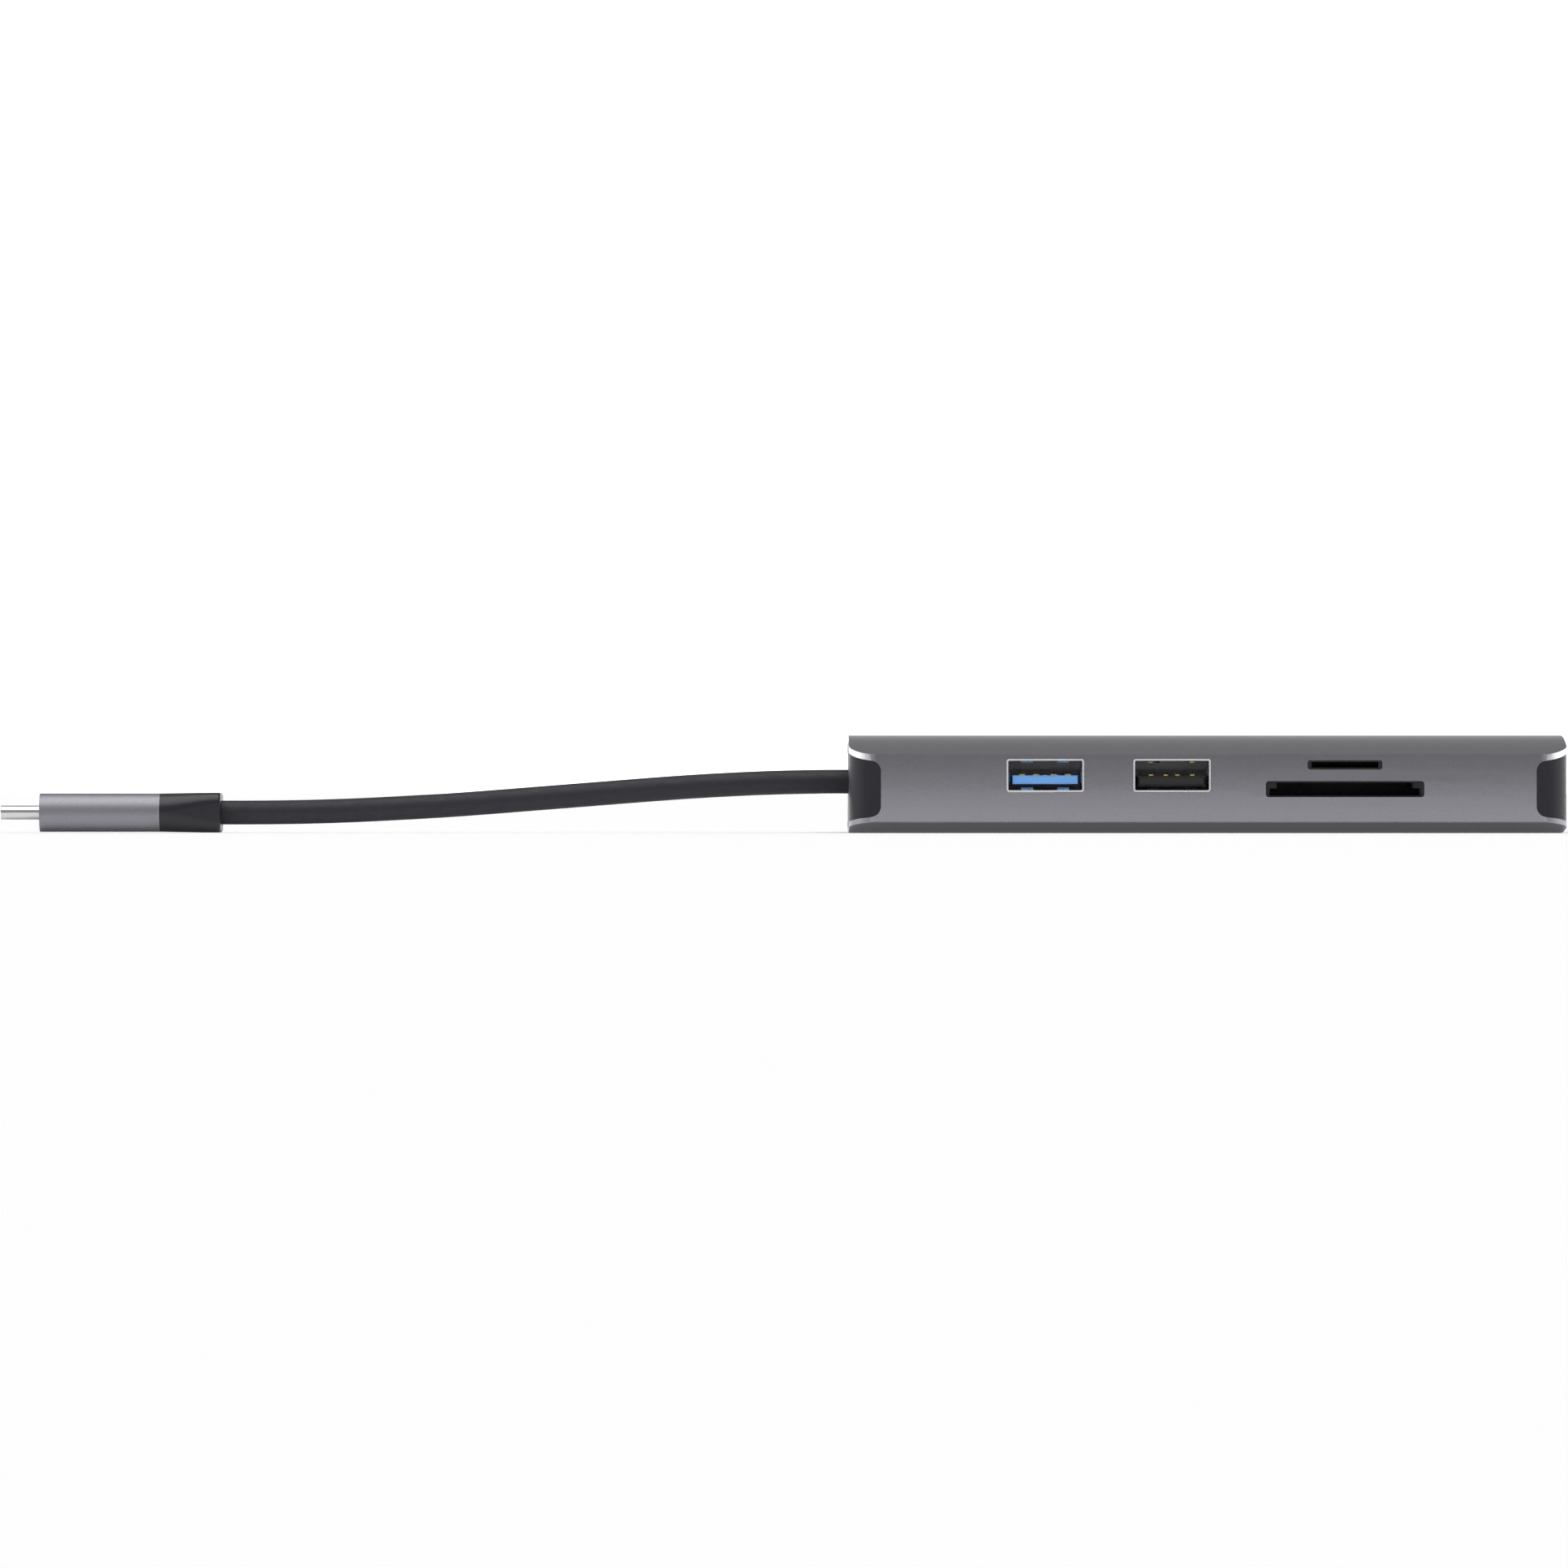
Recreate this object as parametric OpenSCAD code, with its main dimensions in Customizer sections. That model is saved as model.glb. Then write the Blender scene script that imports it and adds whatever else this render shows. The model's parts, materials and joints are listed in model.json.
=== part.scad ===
// USB multiport hub: an aluminium sleeve round a connector board, with a short captive USB-C lead.
// X runs along the body and the lead leaves at -X. -Y is the face with the card slots. +Z is up.
// The origin is under the middle of the body, on the surface that it rests on. Millimetres.

/* [Body] */
// Length of the body
body_l = 121.5; // [120:0.5:124]
// Depth of the body, from the front face to the back face
body_d = 55; // [54:0.5:57]
// Height of the body at the middle of its crowned top
body_h = 16.6; // [16.4:0.1:17.4]
// Radius of the four upright corners
corner_r = 5.4; // [5:0.1:6]
// How far the top falls from its flat middle to the front edge
top_drop = 3.37; // [3.2:0.01:3.5]
// Distance over which the top falls
top_run = 21; // [19:0.5:22]
// How far the underside rises from its flat middle to the front edge
base_rise = 1.86; // [1.7:0.01:2]
// Distance over which the underside rises
base_run = 19; // [18:0.5:20]
// Bulge of the front and back faces
face_bulge = 0.36; // [0.2:0.02:0.5]

/* [Sleeve] */
// Thickness of the sleeve's top wall
top_wall = 1.0; // [0.9:0.05:1.1]
// Thickness of the sleeve's bottom wall
base_wall = 0.85; // [0.8:0.05:0.95]
// Thickness of the sleeve's front and back walls
side_wall = 1.2; // [1:0.05:1.3]
// How far each end cap reaches round onto the front face
cap_reach = 5.4; // [5:0.1:6]
// Corner radius of the end windows in the front and back walls
window_r = 1.85; // [1.5:0.05:2]

/* [Ports] */
// Middle of the blue front port, from the body's middle
usb3_x = -27.6; // [-29:0.1:-26]
// Middle of the black front port
usb2_x = -6.2; // [-8:0.1:-5]
// Middle of the two card slots
card_x = 23; // [22:0.1:24]
// Height of the middle of the A-type ports
usb_a_z = 9.74; // [9.6:0.02:9.74]
// Height of the middle of the large card slot
sd_z = 7.43; // [7.3:0.01:7.43]
// Height of the middle of the small card slot
microsd_z = 11.53; // [11.5:0.01:11.55]
// Middle of the network jack on the back face
ethernet_x = 32; // [31:0.1:33]
// Middle of the video port on the back face
hdmi_x = 8; // [7:0.1:9]
// Middle of the C-type port on the back face
usbc_x = -11; // [-12:0.1:-10]
// Middle of the blue A-type port on the back face
rear_usb3_x = -31; // [-32:0.1:-30]

/* [Lead] */
// Diameter of the lead
lead_d = 4.1; // [3.9:0.1:4.2]
// Height of the lead where it leaves the body
lead_z = 8.7; // [8.6:0.1:8.8]
// Height of the plug's axis where it lies on the surface
plug_z = 3.42; // [3.42:0.01:3.6]
// Length of the plug's metal sleeve
plug_l = 20.5; // [20:0.1:21]
// Width of the plug's metal sleeve
plug_w = 12; // [11.8:0.1:12.4]
// Thickness of the plug's metal sleeve
plug_t = 6.58; // [6.5:0.01:6.6]
// Length of the strain relief behind the plug
relief_l = 10.4; // [10:0.1:11]
// Length of the bare connector in front of the plug's sleeve
tip_l = 6.65; // [6.5:0.05:6.8]

/* [Hidden] */
$fn = 64;

big_fn = 256;          // for the large arcs of the body's section
far = 200;             // longer than anything here, for cuts that go right through
fit = 0.05;            // gap left between pieces that slide together
thin = 0.01;           // a hair of overrun, so that cuts leave no skin

half_l = body_l / 2;
half_d = body_d / 2;
face_top = body_h - top_drop;               // height of the front face's upper edge
face_low = base_rise;                       // and of its lower edge
face_mid = (face_top + face_low) / 2;
window_x = half_l - cap_reach;              // where the end windows begin
window_top = face_top - top_wall + 0.02;
window_low = face_low + base_wall;
groove_h = 0.16;                            // shadow line along the upper edge of the front and back
groove_deep = 0.35;
low_groove_r = 0.08;                        // and a finer one along the lower edge

board_t = 1.2;
board_low = 9.1;
board_top = board_low + board_t;
board_x0 = -50;
board_x1 = 51;
board_half_d = 25.2;
post_x = 46;
post_y = 13;
clamp_x = -46.5;

port_set = 0.15;                            // how far the mouths stand back from the faces

// A-type port
usb_w = 13.1;
usb_h = 5.6;
usb_wall = 0.3;
usb_depth = 14;
usb_corner = 0.45;
usb_spring_x = 3.05;                        // middle of each spring tab
usb_spring_w = 2;
usb_side_spring_w = 2.2;
usb3_spring_y = 1.2;                        // where the tabs' free ends are
usb2_spring_y = 2.2;                        // further in, as this port's tongue is
usb_spring_root = 6.2;                      // and where all tabs join the wall
usb_lead_in = 0.4;                          // length of the lead-in at a tab's free end
usb_sheet = 0.25;                           // thickness of a tab
usb_top_deep = 0.37;                        // how far the tabs stand into the port
usb_low_deep = 0.5;
usb_side_deep = 0.3;
usb_housing_y = 9;                          // depth of the housing's face, and of the step above it
usb_step_y = 8;
usb_step_z = 1.03;
usb3_pin_x = [-3.87, -1.45, 1.45, 3.87];
usb2_pin_x = [-3.5, -1, 1, 3.5];

// Card slots
sd_w = 26.75;
sd_h = 2.7;
microsd_w = 12.6;
microsd_h = 1.57;
microsd_set = 0.1;                          // the face leans back here, so the small slot stands back too
bezel_depth = side_wall + 0.5;

// Network jack
eth_w = 15.2;
eth_h = 10;
eth_z = 7.5;
eth_depth = 16;
eth_wall = 0.25;
eth_cavity_w = 11.9;
eth_cavity_h = 6.7;
eth_cavity_low = -2.65;                     // floor of the plug's space, from the jack's middle

// Video port
hdmi_w = 15;
hdmi_h = 5.6;
hdmi_z = 9.4;
hdmi_depth = 11.5;
hdmi_tongue_z = 0.35;                       // height of the tongue's middle above the port's
hdmi_tongue_h = 1.5;

// C-type port
usbc_w = 8.94;
usbc_h = 3.2;
usbc_z = 9.7;
usbc_depth = 8;

// Plug, from the relief to the tip, towards -X
relief_x = -167.95;
plug_x = relief_x - relief_l;
tip_x = plug_x - plug_l;
shell_w = 8.25;
shell_t = 2.4;
shell_wall = 0.24;
relief_w = 11.4;
relief_t = 6.84;

// The lead's route: level out of the cap, down under its own weight, level into the relief.
lead_route = [
    [-60.75, 0, 8.7], [-64, 0, 8.7], [-68, 0, 8.65], [-74, 0, 8.5], [-81, 0, 8.2], [-88, 0, 7.8],
    [-95, 0, 7.3], [-102, 0, 6.75], [-109, 0, 6.2], [-116, 0, 5.65], [-123, 0, 5.1], [-130, 0, 4.6],
    [-137, 0, 4.2], [-144, 0, 3.85], [-151, 0, 3.6], [-158, 0, 3.46], [-163.5, 0, 3.42],
    [-167.95, 0, 3.42]
];

function arc_r(run, drop) = (run * run + drop * drop) / (2 * drop);

// ---------- Flat shapes ----------

module stadium(w, h) {
    square([w - h, h], center = true);
    for (s = [-1, 1]) translate([s * (w - h) / 2, 0]) circle(d = h);
}

module rounded(w, h, r) {
    square([w - 2 * r, h], center = true);
    square([w, h - 2 * r], center = true);
    for (sx = [-1, 1], sy = [-1, 1])
        translate([sx * (w / 2 - r), sy * (h / 2 - r)]) circle(r);
}

// ---------- Ways to extrude ----------

// A flat (Y, Z) shape along X
module along_x(x0, x1) translate([x0, 0, 0]) rotate([90, 0, 90]) linear_extrude(x1 - x0) children();

// A flat (X, Z) shape along Y
module along_y(y0, y1) translate([0, y1, 0]) rotate([90, 0, 0]) linear_extrude(y1 - y0) children();

// A flat (X, Y) shape along Z
module along_z(z0, z1) translate([0, 0, z0]) linear_extrude(z1 - z0) children();

// A block from its lowest to its highest corner
module block(low, high) translate(low) cube(high - low);

// Puts a port whose mouth is at y = 0 and whose body runs towards +Y into the front or back face
module front_port(x, z) translate([x, port_set - half_d, z]) children();
module back_port(x, z) translate([x, half_d - port_set, z]) rotate([0, 0, 180]) children();

// ---------- The body's section and outline ----------

module under_top(inset) {
    r = arc_r(top_run, top_drop);
    flat = half_d - top_run;
    for (s = [-1, 1]) translate([s * flat, body_h - r]) circle(r - inset, $fn = big_fn);
    translate([-flat, -far]) square([2 * flat, far + body_h - inset]);
}

module over_base(inset) {
    r = arc_r(base_run, base_rise);
    flat = half_d - base_run;
    for (s = [-1, 1]) translate([s * flat, r]) circle(r - inset, $fn = big_fn);
    translate([-flat, inset]) square([2 * flat, far]);
}

module between_faces(inset) {
    r = arc_r((face_top - face_low) / 2, face_bulge);
    intersection_for (s = [-1, 1]) translate([s * (r - half_d), face_mid]) circle(r - inset, $fn = big_fn);
}

module outer_section() intersection() {
    under_top(0);
    over_base(0);
    between_faces(0);
}

module inner_section(gap = 0) intersection() {
    under_top(top_wall + gap);
    over_base(base_wall + gap);
    between_faces(side_wall + gap);
}

// What the end caps fill: between the top and bottom walls, out past the side walls
module end_section(gap = 0) intersection() {
    under_top(top_wall + gap);
    over_base(base_wall + gap);
    translate([-half_d - 1, 0]) square([body_d + 2, body_h]);
}

module outline(inset = 0) rounded(body_l - 2 * inset, body_d - 2 * inset, corner_r - inset);

// The windows' rounded corners, which stay in the front and back walls
module window_corners(gap = 0) for (low = [0, 1]) {
    edge = low ? window_low + gap : window_top - gap;
    inward = low ? 1 : -1;
    difference() {
        translate([window_x - 1, low ? edge - 1 : edge - window_r])
            square([window_r + 1, window_r + 1]);
        translate([window_x + gap + window_r, edge + inward * window_r]) circle(window_r);
        translate([window_x + gap + window_r, edge - 1.5]) square([2, 3]);
    }
}

// ---------- Sleeve and caps ----------

module sleeve_cut_outs() {
    for (x = [usb3_x, usb2_x]) front_port(x, usb_a_z)
        along_y(-1, side_wall + 1) rounded(usb_w + 2 * fit, usb_h + 2 * fit, usb_corner + fit);
    front_port(card_x, sd_z) along_y(-1, side_wall + 1) rounded(sd_w, sd_h, 0.5);
    front_port(card_x, microsd_z) along_y(-1, side_wall + 1) rounded(microsd_w, microsd_h, 0.45);
    back_port(ethernet_x, eth_z) along_y(-1, side_wall + 1) rounded(eth_w + 2 * fit, eth_h + 2 * fit, 0.4);
    back_port(hdmi_x, hdmi_z) along_y(-1, side_wall + 1) hdmi_outline(fit);
    back_port(usbc_x, usbc_z) along_y(-1, side_wall + 1) stadium(usbc_w + 2 * fit, usbc_h + 2 * fit);
    back_port(rear_usb3_x, usb_a_z)
        along_y(-1, side_wall + 1) rounded(usb_w + 2 * fit, usb_h + 2 * fit, usb_corner + fit);
}

module sleeve() color("dimgray") difference() {
    intersection() {
        along_x(-half_l, half_l) outer_section();
        along_z(-1, body_h + 1) outline();
    }
    along_x(-far, far) inner_section();
    for (side = [0, 1]) mirror([side, 0, 0]) difference() {
        along_x(window_x, far) end_section();
        along_y(-far, far) window_corners();
    }
    for (side = [0, 1]) mirror([0, side, 0]) {
        along_x(-far, far) translate([-half_d, face_top - groove_h])
            square([face_bulge + groove_deep, groove_h]);
        along_x(-far, far) translate([-half_d + face_bulge, face_low]) circle(low_groove_r);
    }
    sleeve_cut_outs();
}

cap_wall = 1.6;
cap_skirt = 4;

// An end cap at +X: an outer wall that follows the body's outline, and a skirt inside the sleeve
module end_cap() difference() {
    union() {
        intersection() {
            difference() {
                along_x(window_x + fit, half_l) end_section(fit);
                along_y(-far, far) window_corners(fit);
            }
            along_z(-1, body_h + 1) outline(fit);
        }
        along_x(window_x - cap_skirt, window_x + 1) inner_section(fit);
    }
    along_x(window_x - cap_skirt - 1, half_l - cap_wall) inner_section(cap_wall);
    for (side = [-1, 1]) translate([0, side * 12, 0])
        block([window_x - cap_skirt - 1, -1.5, 0], [window_x - cap_skirt + 2, 1.5, body_h]);
}

module plain_end_cap() color("#2f2f33") end_cap();

module lead_end_cap() color("#2f2f33") difference() {
    mirror([1, 0, 0]) end_cap();
    translate([-far, 0, lead_z]) rotate([0, 90, 0]) cylinder(d = lead_d + 2 * fit, h = far);
}

// ---------- Carrier, board and what is on it ----------

module board_carrier() color("#26262a") difference() {
    union() {
        difference() {
            block([-49, -16, 1.4], [49, 16, 2.4]);
            for (x = [-36:18:36]) block([x - 6, -10, 1], [x + 6, 10, 3]);
        }
        for (sx = [-1, 1], sy = [-1, 1])
            translate([sx * post_x, sy * post_y, 2]) cylinder(d = 5, h = board_low - 2);
    }
    for (sx = [-1, 1], sy = [-1, 1])
        translate([sx * post_x, sy * post_y, 3]) cylinder(r = 0.8 + fit, h = far);
}

module pan_screw(shank_d, shank_l, head_d, head_h) {
    translate([0, 0, -shank_l]) cylinder(d = shank_d, h = shank_l + thin);
    difference() {
        cylinder(d = head_d, h = head_h);
        for (a = [0, 90])
            rotate(a) translate([-head_d / 3, -0.2, head_h / 2]) cube([head_d / 1.5, 0.4, head_h]);
    }
}

module carrier_screws() color("silver")
    for (sx = [-1, 1], sy = [-1, 1])
        translate([sx * post_x, sy * post_y, board_top]) pan_screw(1.6, 5.5, 3.6, 1.2);

module port_notch(w, depth) block([-w / 2 - 0.2, 0, -board_t * 4], [w / 2 + 0.2, depth + 0.3, board_t * 4]);

module main_board() color("#11502f") difference() {
    block([board_x0, -board_half_d, board_low], [board_x1, board_half_d, board_top]);
    for (sx = [-1, 1], sy = [-1, 1])
        translate([sx * post_x, sy * post_y, 0]) cylinder(r = 1.1, h = far);
    for (x = [usb3_x, usb2_x]) front_port(x, board_low) port_notch(usb_w, usb_depth);
    back_port(rear_usb3_x, board_low) port_notch(usb_w, usb_depth);
    back_port(ethernet_x, board_low) port_notch(eth_w, eth_depth);
    back_port(hdmi_x, board_low) port_notch(hdmi_w, hdmi_depth);
    back_port(usbc_x, board_low) port_notch(usbc_w, usbc_depth);
    for (s = [-1, 1]) translate([clamp_x, s * 6.5, 0]) cylinder(r = 0.75, h = far);
}

module chip(x, y, w, d, h) {
    block([x - w / 2, y - d / 2, board_top + 0.08], [x + w / 2, y + d / 2, board_top + h]);
    block([x - w / 2 + 0.4, y - d / 2 + 0.4, board_top], [x + w / 2 - 0.4, y + d / 2 - 0.4, board_top + 0.1]);
}

module hub_controller() color("#1a1a1c") chip(-16, 1, 9, 9, 0.9);
module video_converter() color("#1a1a1c") chip(8, 4, 8, 8, 0.9);
module ethernet_controller() color("#1a1a1c") chip(19, 2, 7, 7, 0.9);
module card_reader_chip() color("#1a1a1c") chip(4, -8, 5, 5, 0.8);
module power_chip() color("#1a1a1c") chip(-34, 1, 5, 5, 0.8);

module ethernet_transformer() color("#1a1a1c") {
    block([25, -1, board_top + 0.2], [40, 7, board_top + 4]);
    for (i = [0:11], s = [0, 1])
        block([25.6 + i * 1.2, s ? 7 : -2.2, board_top], [26.1 + i * 1.2, s ? 8.2 : -1, board_top + 0.9]);
}

module crystals() color("silver")
    for (p = [[-26, 6], [8, 11.5], [44, 2]])
        translate([p.x, p.y, board_top]) along_z(0, 0.8) rounded(3.2, 2.5, 0.4);

module inductors() color("#3a3a3c")
    for (p = [[-40, -6], [-40, 2], [-30, -4], [-30, 10]])
        translate([p.x, p.y, board_top]) along_z(0, 2.2) rounded(4.4, 4.4, 0.8);

module capacitors() color("#b79a6a") {
    for (x = [-6:3:3]) block([x - 0.6, 5, board_top], [x + 0.6, 6.9, board_top + 1]);
    for (y = [-10:2.5:0]) block([41, y - 0.6, board_top], [42.8, y + 0.6, board_top + 1]);
    for (x = [-40:3:-22]) block([x - 0.5, -9.9, board_top], [x + 0.5, -8.3, board_top + 0.8]);
}

module shield_can() color("silver") difference() {
    block([-24, -6.5, board_top], [-8, 8.5, board_top + 2]);
    block([-23.8, -6.3, board_top - 1], [-8.2, 8.3, board_top + 1.8]);
}

module thermal_pad() color("#8fa3b5") block([-22, -5, board_top + 2], [-10, 5, body_h - top_wall]);

// ---------- A-type port ----------

// A spring tab cut out of the shell's wall and bent inwards, with a steep lead-in at its free
// end, drawn for the top wall
module usb_spring(y, w, deep) along_x(-w / 2, w / 2) polygon([
    [usb_spring_root, usb_wall],
    [usb_spring_root, 0],
    [y + 2 * usb_lead_in, -deep],
    [y + usb_lead_in, -deep],
    [y, 0],
    [y, usb_sheet],
    [y + 0.8 * usb_lead_in, usb_sheet],
    [y + 1.6 * usb_lead_in, usb_sheet - deep],
    [y + 2 * usb_lead_in, usb_sheet - deep]
]);

// The slot that a tab leaves in the wall
module usb_spring_slot(y, w, reach)
    block([-w / 2 - 0.25, y - 0.25, 0], [w / 2 + 0.25, usb_spring_root - 0.2, reach]);

module usb_shell(spring_y) {
    difference() {
        along_y(0, usb_depth) rounded(usb_w, usb_h, usb_corner);
        along_y(-1, usb_depth - usb_wall) rounded(usb_w - 2 * usb_wall, usb_h - 2 * usb_wall, usb_corner / 2);
        for (x = [-1, 1], a = [0, 180]) rotate([0, a, 0])
            translate([x * usb_spring_x, 0, 0]) usb_spring_slot(spring_y, usb_spring_w, usb_h);
        for (a = [-90, 90]) rotate([0, a, 0]) usb_spring_slot(spring_y, usb_side_spring_w, usb_w);
    }
    for (x = [-1, 1], low = [0, 1]) rotate([0, 180 * low, 0])
        translate([x * usb_spring_x, 0, usb_h / 2 - usb_wall])
            usb_spring(spring_y, usb_spring_w, low ? usb_low_deep : usb_top_deep);
    for (a = [-90, 90]) rotate([0, a, 0])
        translate([0, 0, usb_w / 2 - usb_wall]) usb_spring(spring_y, usb_side_spring_w, usb_side_deep);
}

// The block that fills the back of the shell and holds the tongue in a slot
module usb_housing(tongue_w, tongue_h, drop) {
    w = usb_w - 2 * usb_wall - 2 * fit;
    h = usb_h - 2 * usb_wall - 2 * fit;
    back = usb_depth - usb_wall - fit;
    difference() {
        union() {
            along_y(usb_housing_y, back) rounded(w, h, usb_corner / 2);
            intersection() {
                along_y(usb_step_y, back) rounded(w, h, usb_corner / 2);
                block([-w, 0, usb_step_z], [w, back, h]);
            }
        }
        translate([0, 0, -drop])
            along_y(0, far) square([tongue_w + 2 * usb_slot_gap, tongue_h + 2 * usb_slot_gap], center = true);
    }
}

// The tongue, with its front edges cut back at 45 degrees
module usb_tongue(tongue_w, tongue_h, recess, bevel, drop) {
    side = bevel * sqrt(2);
    translate([0, recess, -drop]) difference() {
        along_y(0, usb_depth - usb_wall - fit - recess) square([tongue_w, tongue_h], center = true);
        for (s = [-1, 1]) {
            translate([0, 0, s * tongue_h / 2]) rotate([45, 0, 0])
                cube([tongue_w + 1, side, side], center = true);
            translate([s * tongue_w / 2, 0, 0]) rotate([0, 0, 45])
                cube([side, side, tongue_h + 1], center = true);
        }
    }
}

// One spring contact on the tongue, bowed up off its face
module usb_contact(w, top) translate([0, 0, top]) along_x(-w / 2, w / 2)
    polygon([[9, 0], [9, 0.15], [4.6, 0.55], [3.6, 0.55], [2.6, 0.2], [2.6, 0], [3.7, 0.35], [4.5, 0.35]]);

usb_slot_gap = 0.02;
usb3_tongue_w = 11.03;
usb3_tongue_h = 1.47;
usb3_drop = 0.72;
usb2_tongue_w = 11.5;
usb2_tongue_h = 1.8;
usb2_drop = 0.95;

module usb3_contact_set() {
    top = usb3_tongue_h / 2 - usb3_drop;
    for (x = usb3_pin_x) translate([x, 0, 0]) usb_contact(0.95, top);
    for (x = [-4, -2, 0, 2, 4]) block([x - 0.25, 1.2, top], [x + 0.25, 2.3, top + 0.06]);
}

module usb3_housing_block() usb_housing(usb3_tongue_w, usb3_tongue_h, usb3_drop);
module usb3_tongue_bar() usb_tongue(usb3_tongue_w, usb3_tongue_h, 0.7, 0.2, usb3_drop);

module usb3_shell() color("gainsboro") front_port(usb3_x, usb_a_z) usb_shell(usb3_spring_y);
module usb3_housing() color("#3c3c40") front_port(usb3_x, usb_a_z) usb3_housing_block();
module usb3_tongue() color("#6d9ddd") front_port(usb3_x, usb_a_z) usb3_tongue_bar();
module usb3_contacts() color("gold") front_port(usb3_x, usb_a_z) usb3_contact_set();

module usb2_shell() color("gainsboro") front_port(usb2_x, usb_a_z) usb_shell(usb2_spring_y);
module usb2_housing() color("#3c3c40") front_port(usb2_x, usb_a_z)
    usb_housing(usb2_tongue_w, usb2_tongue_h, usb2_drop);
module usb2_tongue() color("#202022") front_port(usb2_x, usb_a_z)
    usb_tongue(usb2_tongue_w, usb2_tongue_h, 1.3, 0.38, usb2_drop);
module usb2_contacts() color("gold") front_port(usb2_x, usb_a_z)
    for (x = usb2_pin_x) translate([x, 0, 0]) usb_contact(0.7, usb2_tongue_h / 2 - usb2_drop);

module rear_usb3_shell() color("gainsboro") back_port(rear_usb3_x, usb_a_z)
    usb_shell(usb3_spring_y);
module rear_usb3_housing() color("#3c3c40") back_port(rear_usb3_x, usb_a_z) usb3_housing_block();
module rear_usb3_tongue() color("#6d9ddd") back_port(rear_usb3_x, usb_a_z) usb3_tongue_bar();
module rear_usb3_contacts() color("gold") back_port(rear_usb3_x, usb_a_z) usb3_contact_set();

// ---------- Card slots ----------

sd_open_h = 2.2;
sd_rib_h = 0.95;

// The large slot's opening: wide below, narrower above, between the ribs that key the card
module sd_opening(card_w, rib_w) {
    translate([-card_w / 2, -sd_open_h / 2]) square([card_w, sd_open_h - sd_rib_h]);
    translate([-rib_w / 2, -sd_open_h / 2]) square([rib_w, sd_open_h]);
}

module sd_bezel() color("#3a3a3e") front_port(card_x, sd_z) difference() {
    along_y(0, bezel_depth) rounded(sd_w - 2 * fit, sd_h - 2 * fit, 0.45);
    along_y(-1, bezel_depth + 1) sd_opening(25.7, 23.2);
}

sd_base_w = 27.4;
sd_base_d = 22;
sd_base_top = board_low - sd_z;
sd_base_back = bezel_depth + sd_base_d;
sd_base_low = -sd_h / 2 - 0.45;
sd_back_wall = 1.2;
module sd_socket_base() color("#1c1c1f") front_port(card_x, sd_z) difference() {
    block([-sd_base_w / 2, bezel_depth, sd_base_low], [sd_base_w / 2, sd_base_back, sd_base_top]);
    along_y(bezel_depth - 1, sd_base_back - sd_back_wall) sd_opening(25.3, 22.9);
    block([-11, bezel_depth + 3, -sd_h], [11, sd_base_back - sd_back_wall, 0.2 - sd_open_h / 2]);
}

cover_t = 0.25;
cover_y = bezel_depth + 0.4;
module sd_socket_cover() color("silver") front_port(card_x, sd_z) {
    side = sd_base_w / 2 + cover_t;
    block([-side, cover_y, sd_base_low - cover_t], [side, sd_base_back, sd_base_low]);
    for (s = [0, 1]) mirror([s, 0, 0])
        block([side - cover_t, cover_y, sd_base_low - 0.1], [side, sd_base_back, sd_base_top]);
}

// A contact finger of a card socket, rising from its root to its tip
module card_contact(w, l, rise) along_x(-w / 2, w / 2)
    polygon([[l, 0], [l, 0.15], [1, rise + 0.12], [0, rise - 0.05], [0.1, rise - 0.2], [1, rise - 0.03]]);

sd_pitch = 2.5;
module sd_contacts() color("gold") front_port(card_x, sd_z)
    for (i = [-4:4]) translate([i * sd_pitch, bezel_depth + 13, -sd_open_h / 2 - 0.7])
        card_contact(1, 6, 0.8);

microsd_open_w = 11.3;
microsd_open_h = 0.98;
module microsd_opening(grow = 0)
    square([microsd_open_w + 2 * grow, microsd_open_h + 2 * grow], center = true);

module microsd_bezel() color("#3a3a3e") front_port(card_x, microsd_z) difference() {
    along_y(microsd_set, bezel_depth) rounded(microsd_w - 2 * fit, microsd_h - 2 * fit, 0.4);
    along_y(-1, bezel_depth + 1) microsd_opening();
}

microsd_base_w = 14;
microsd_base_d = 14.5;
microsd_base_low = board_top - microsd_z;
microsd_base_top = 0.72;
microsd_base_back = bezel_depth + microsd_base_d;
module microsd_socket_base() color("#1c1c1f") front_port(card_x, microsd_z) difference() {
    half_w = microsd_base_w / 2;
    block([-half_w, bezel_depth, microsd_base_low], [half_w, microsd_base_back, microsd_base_top]);
    along_y(bezel_depth - 1, microsd_base_back - 1) microsd_opening(0.06);
}

microsd_cover_t = 0.2;
module microsd_socket_cover() color("silver") front_port(card_x, microsd_z) {
    side = microsd_base_w / 2 + microsd_cover_t;
    top = microsd_base_top + microsd_cover_t;
    block([-side, cover_y, microsd_base_top], [side, microsd_base_back, top]);
    for (s = [0, 1]) mirror([s, 0, 0])
        block([side - microsd_cover_t, cover_y, microsd_base_low], [side, microsd_base_back, top - 0.1]);
}

microsd_pitch = 1.1;
module microsd_contacts() color("gold") front_port(card_x, microsd_z)
    for (i = [0:7]) translate([(i - 3.5) * microsd_pitch, bezel_depth + 9, -microsd_open_h / 2 - 0.05])
        card_contact(0.6, 4, 0.42);

// ---------- Network jack ----------

// The plug's space, with the latch's channel below it
module ethernet_opening() {
    translate([-eth_cavity_w / 2, eth_cavity_low]) square([eth_cavity_w, eth_cavity_h]);
    translate([-3.2, eth_cavity_low - 1.3]) square([6.4, 2]);
    translate([-1.7, eth_cavity_low - 1.9]) square([3.4, 2]);
}

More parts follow.
